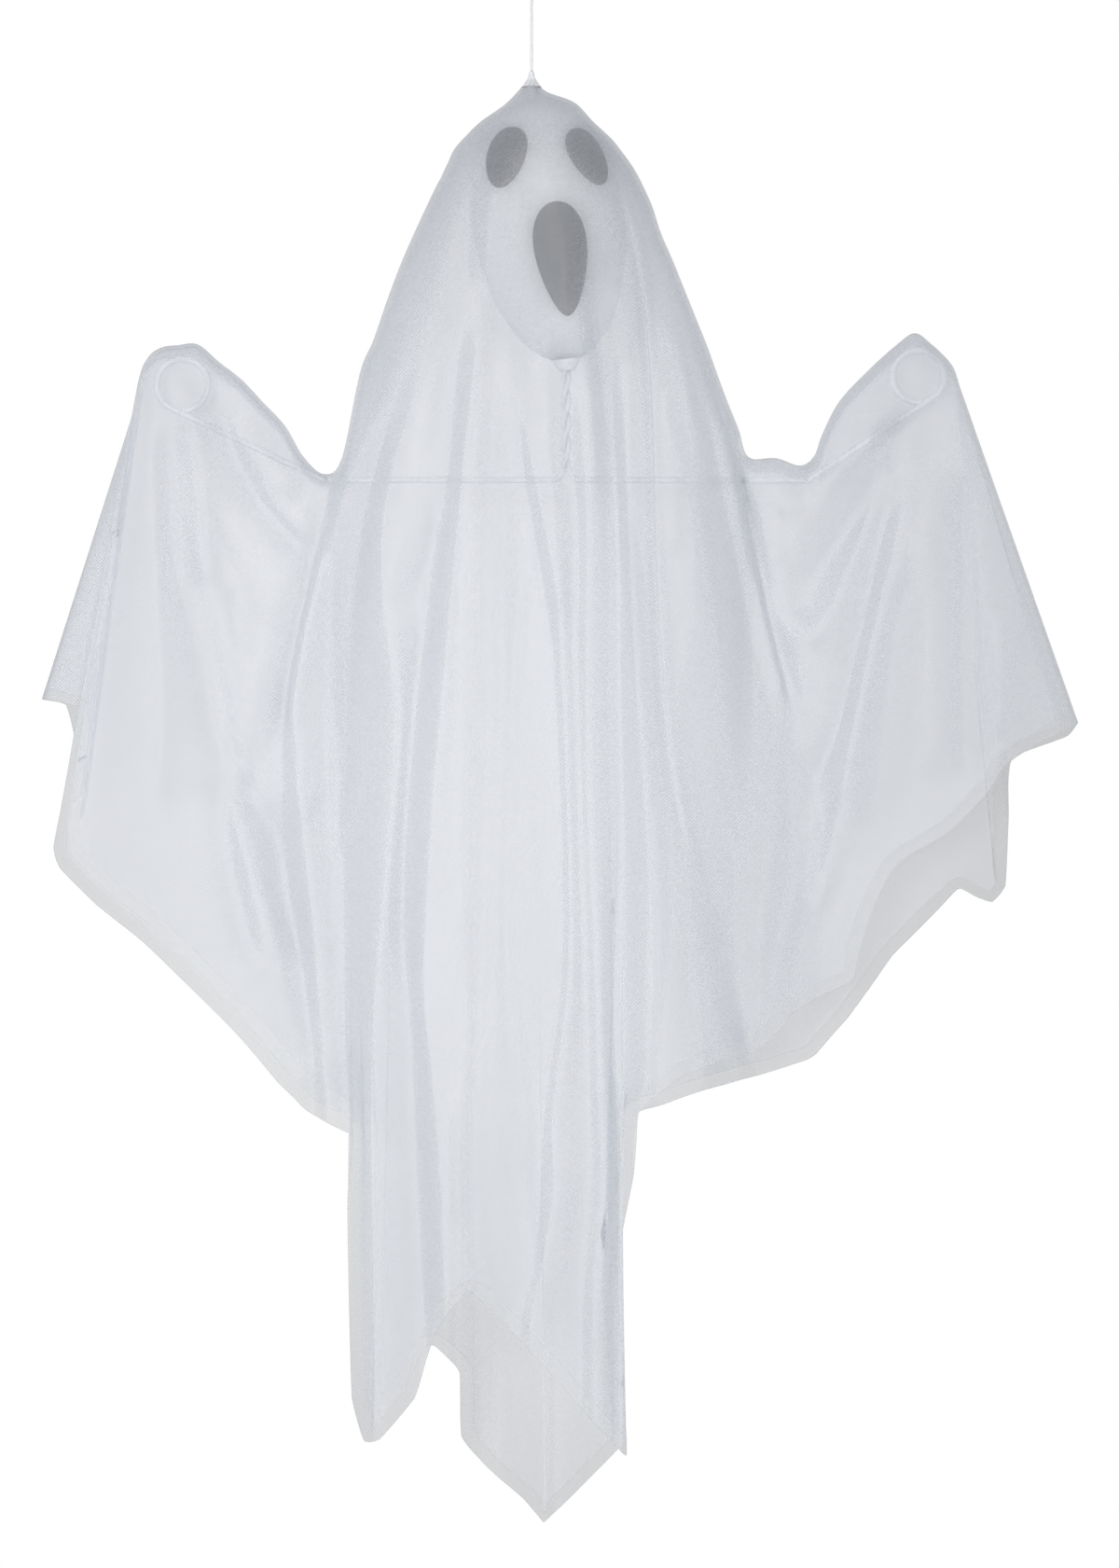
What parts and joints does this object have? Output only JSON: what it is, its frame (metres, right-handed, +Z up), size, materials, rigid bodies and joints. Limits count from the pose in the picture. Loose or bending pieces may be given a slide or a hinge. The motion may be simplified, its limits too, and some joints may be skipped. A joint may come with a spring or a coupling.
{
  "type": "hanging ghost decoration",
  "caption": "Hanging ghost: a foam head on a twisted wire with bent-up arms under two draped sheets of thin white cloth, on a looped cord.",
  "frame": {"origin": "inside top of the hanging loop, where a hook or nail bears", "axes": "+Z up along the cord, +X to the viewer's right, the face looks along -Y"},
  "size_m": [0.3575, 0.0646, 0.5704],
  "materials": {
    "cloth": "sheer knit with a slight sheen",
    "cord": "twisted cotton",
    "foam": "pressed bead foam",
    "face": "black felt",
    "wire": "soft steel wire in a white coat",
    "glue": "clear hot-melt glue"
  },
  "bodies": {
    "hanger": {"hang_loop": "cord"},
    "knot": {"loop_knot": "cord"},
    "cord": {"hang_cord": "cord"},
    "ghost": {"crown_glue": "glue", "cord_tail": "cord", "anchor_knot": "cord", "anchor_glue": "glue", "head": "foam", "left_eye": "face", "right_eye": "face", "mouth": "face", "neck_twist": "wire", "neck_glue": "glue", "left_shoulder_wire": "wire", "right_shoulder_wire": "wire", "inner_sheet": "cloth", "outer_sheet": "cloth"},
    "left_arm": {"left_forearm_wire": "wire"},
    "right_arm": {"right_forearm_wire": "wire"}
  },
  "joints": [
    {"name": "knot_swing", "type": "hinge", "parent": "hanger", "child": "knot", "pos_m": [0, 0, -0.03], "axis": [1, 0, 0], "range_deg": [-25, 25]},
    {"name": "cord_swing", "type": "hinge", "parent": "knot", "child": "cord", "pos_m": [0, 0, -0.03], "axis": [0, 1, 0], "range_deg": [-25, 25]},
    {"name": "ghost_turn", "type": "hinge", "parent": "cord", "child": "ghost", "pos_m": [0, 0, -0.06695], "axis": [0, 0, 1], "continuous": true},
    {"name": "left_arm_bend", "type": "hinge", "parent": "ghost", "child": "left_arm", "pos_m": [-0.072, 0, -0.20819], "axis": [0, 1, 0], "range_deg": [-25, 20], "deforming": ["inner_sheet", "outer_sheet"]},
    {"name": "right_arm_bend", "type": "hinge", "parent": "ghost", "child": "right_arm", "pos_m": [0.096, 0, -0.20819], "axis": [0, -1, 0], "range_deg": [-25, 20], "deforming": ["inner_sheet", "outer_sheet"]}
  ]
}
